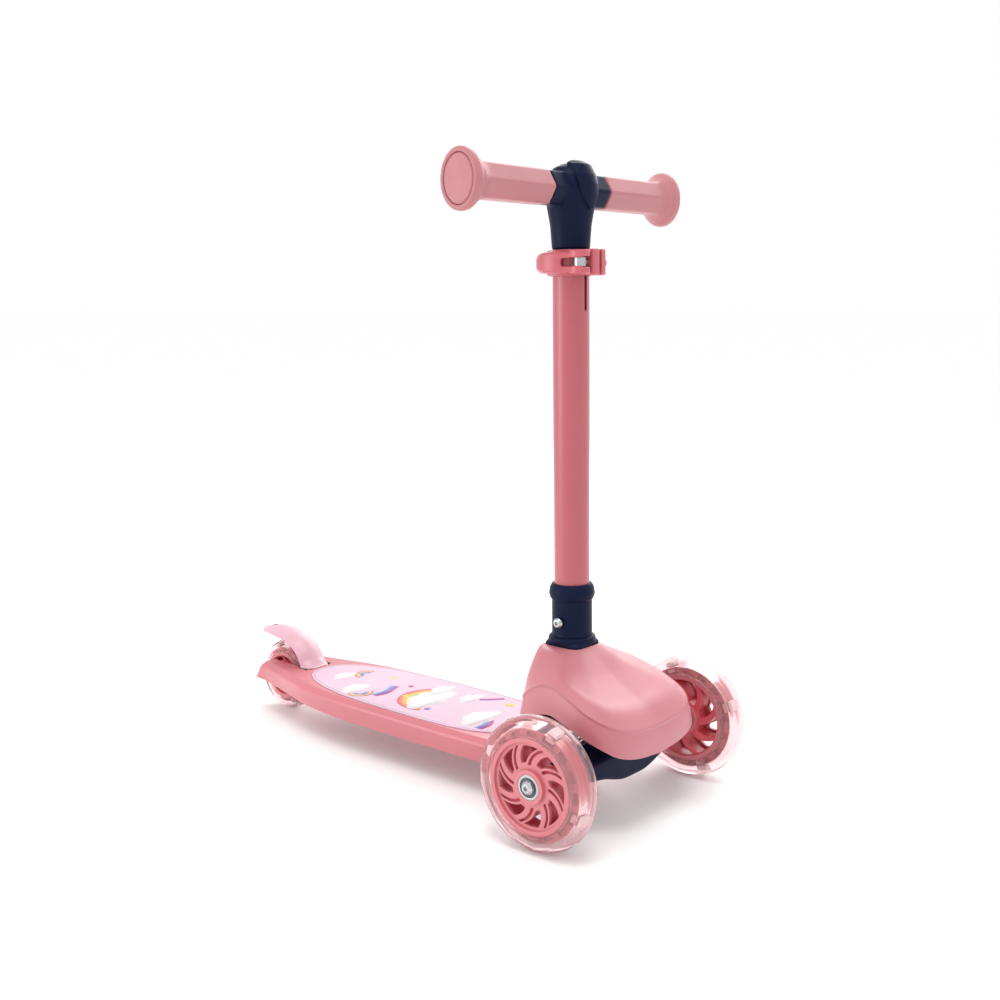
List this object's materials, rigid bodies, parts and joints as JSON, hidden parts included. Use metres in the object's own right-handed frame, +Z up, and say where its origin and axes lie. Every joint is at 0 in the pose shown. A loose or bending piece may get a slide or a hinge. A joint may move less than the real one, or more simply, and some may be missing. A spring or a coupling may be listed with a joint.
{
  "type": "kick scooter",
  "caption": "Small child's lean-to-steer kick scooter with two wide-set front wheels, a low moulded deck, a foot brake over the rear wheel and a height-adjustable handlebar.",
  "frame": {"origin": "middle of the scooter's footprint on the ground", "axes": "+Z up, -Y forward, +X towards the rider's left"},
  "size_m": [0.2966, 0.5652, 0.5867],
  "materials": {
    "shell_pink": "smooth satin moulded plastic, warm pink",
    "grip_pink": "soft moulded grip rubber, warm pink, fine matt surface",
    "pale_pink": "smooth satin moulded plastic, pale pink",
    "navy": "fine satin moulded plastic, dark navy",
    "stem_paint": "satin deep pink powder coat on aluminium tube",
    "tyre_clear": "translucent clear-pink polyurethane, smooth",
    "deck_print": "soft grip sheet, pale pink with a printed rainbow and clouds",
    "light_module": "white light modules on a pale carrier",
    "steel": "zinc plated steel",
    "aluminium": "plain extruded or cast aluminium"
  },
  "bodies": {
    "deck": {"deck": "shell_pink", "deck_mat": "deck_print", "head_block": "navy", "head_screw": "steel", "head_cross_bolt": "steel", "steering_bracket": "aluminium", "bracket_screw_left": "steel", "bracket_screw_right": "steel", "kingpin": "steel", "kingpin_nut": "steel", "steering_spring_left": "steel", "steering_spring_right": "steel", "hood": "shell_pink", "stem_skirt": "navy", "stem_socket": "navy", "stem_bolt": "steel", "stem_nut": "steel", "stem_tube": "stem_paint", "stem_bushing": "navy", "clamp_collar": "shell_pink", "clamp_bolt": "steel", "clamp_nut": "shell_pink", "clamp_pivot_pin": "steel", "brake_pin": "steel", "brake_spring": "steel", "rear_axle_bolt": "steel", "rear_axle_nut": "steel"},
    "truck": {"truck_beam": "navy", "front_axle_bolt_left": "steel", "front_axle_bolt_right": "steel", "front_axle_nut_left": "steel", "front_axle_nut_right": "steel"},
    "front_left_wheel": {"front_tyre_left": "tyre_clear", "front_hub_left": "shell_pink", "front_light_strip_left": "light_module", "front_bearing_outer_left": "steel", "front_bearing_inner_left": "steel", "front_bearing_sleeve_left": "steel"},
    "front_right_wheel": {"front_tyre_right": "tyre_clear", "front_hub_right": "shell_pink", "front_light_strip_right": "light_module", "front_bearing_outer_right": "steel", "front_bearing_inner_right": "steel", "front_bearing_sleeve_right": "steel"},
    "rear_wheel": {"rear_tyre": "tyre_clear", "rear_hub": "shell_pink", "rear_light_strip": "light_module", "rear_bearing_outer": "steel", "rear_bearing_inner": "steel", "rear_bearing_sleeve": "steel"},
    "handlebar": {"inner_tube": "aluminium", "tee_joint": "navy", "tee_cover": "navy", "bar_tube": "aluminium", "grip_left": "grip_pink", "grip_right": "grip_pink", "grip_cap_left": "grip_pink", "grip_cap_right": "grip_pink"},
    "clamp_lever": {"clamp_lever": "shell_pink"},
    "brake": {"brake_fender": "pale_pink"}
  },
  "joints": [
    {"name": "lean_steer", "type": "hinge", "parent": "deck", "child": "truck", "pos_m": [0, -0.21765, 0.062], "axis": [0, -0.766, 0.6428], "range_deg": [-10, 10], "stiffness_Nm_per_rad": 30, "deforming": ["steering_spring_left", "steering_spring_right"]},
    {"name": "front_left_spin", "type": "hinge", "parent": "truck", "child": "front_left_wheel", "pos_m": [0.12, -0.22265, 0.06], "axis": [1, 0, 0], "continuous": true},
    {"name": "front_right_spin", "type": "hinge", "parent": "truck", "child": "front_right_wheel", "pos_m": [-0.12, -0.22265, 0.06], "axis": [1, 0, 0], "continuous": true},
    {"name": "rear_spin", "type": "hinge", "parent": "deck", "child": "rear_wheel", "pos_m": [0, 0.24265, 0.04], "axis": [1, 0, 0], "continuous": true},
    {"name": "bar_height", "type": "slide", "parent": "deck", "child": "handlebar", "axis": [0, 0.0162, 0.9999], "range_m": [0, 0.1]},
    {"name": "clamp_release", "type": "hinge", "parent": "deck", "child": "clamp_lever", "pos_m": [-0.02, -0.18636, 0.49834], "axis": [0, 0.0162, 0.9999], "range_deg": [0, 105]},
    {"name": "brake_press", "type": "hinge", "parent": "deck", "child": "brake", "pos_m": [0, 0.19735, 0.053], "axis": [1, 0, 0], "range_deg": [-14, 0], "stiffness_Nm_per_rad": 0.6, "springref_deg": 20.05, "deforming": ["brake_spring"]}
  ]
}
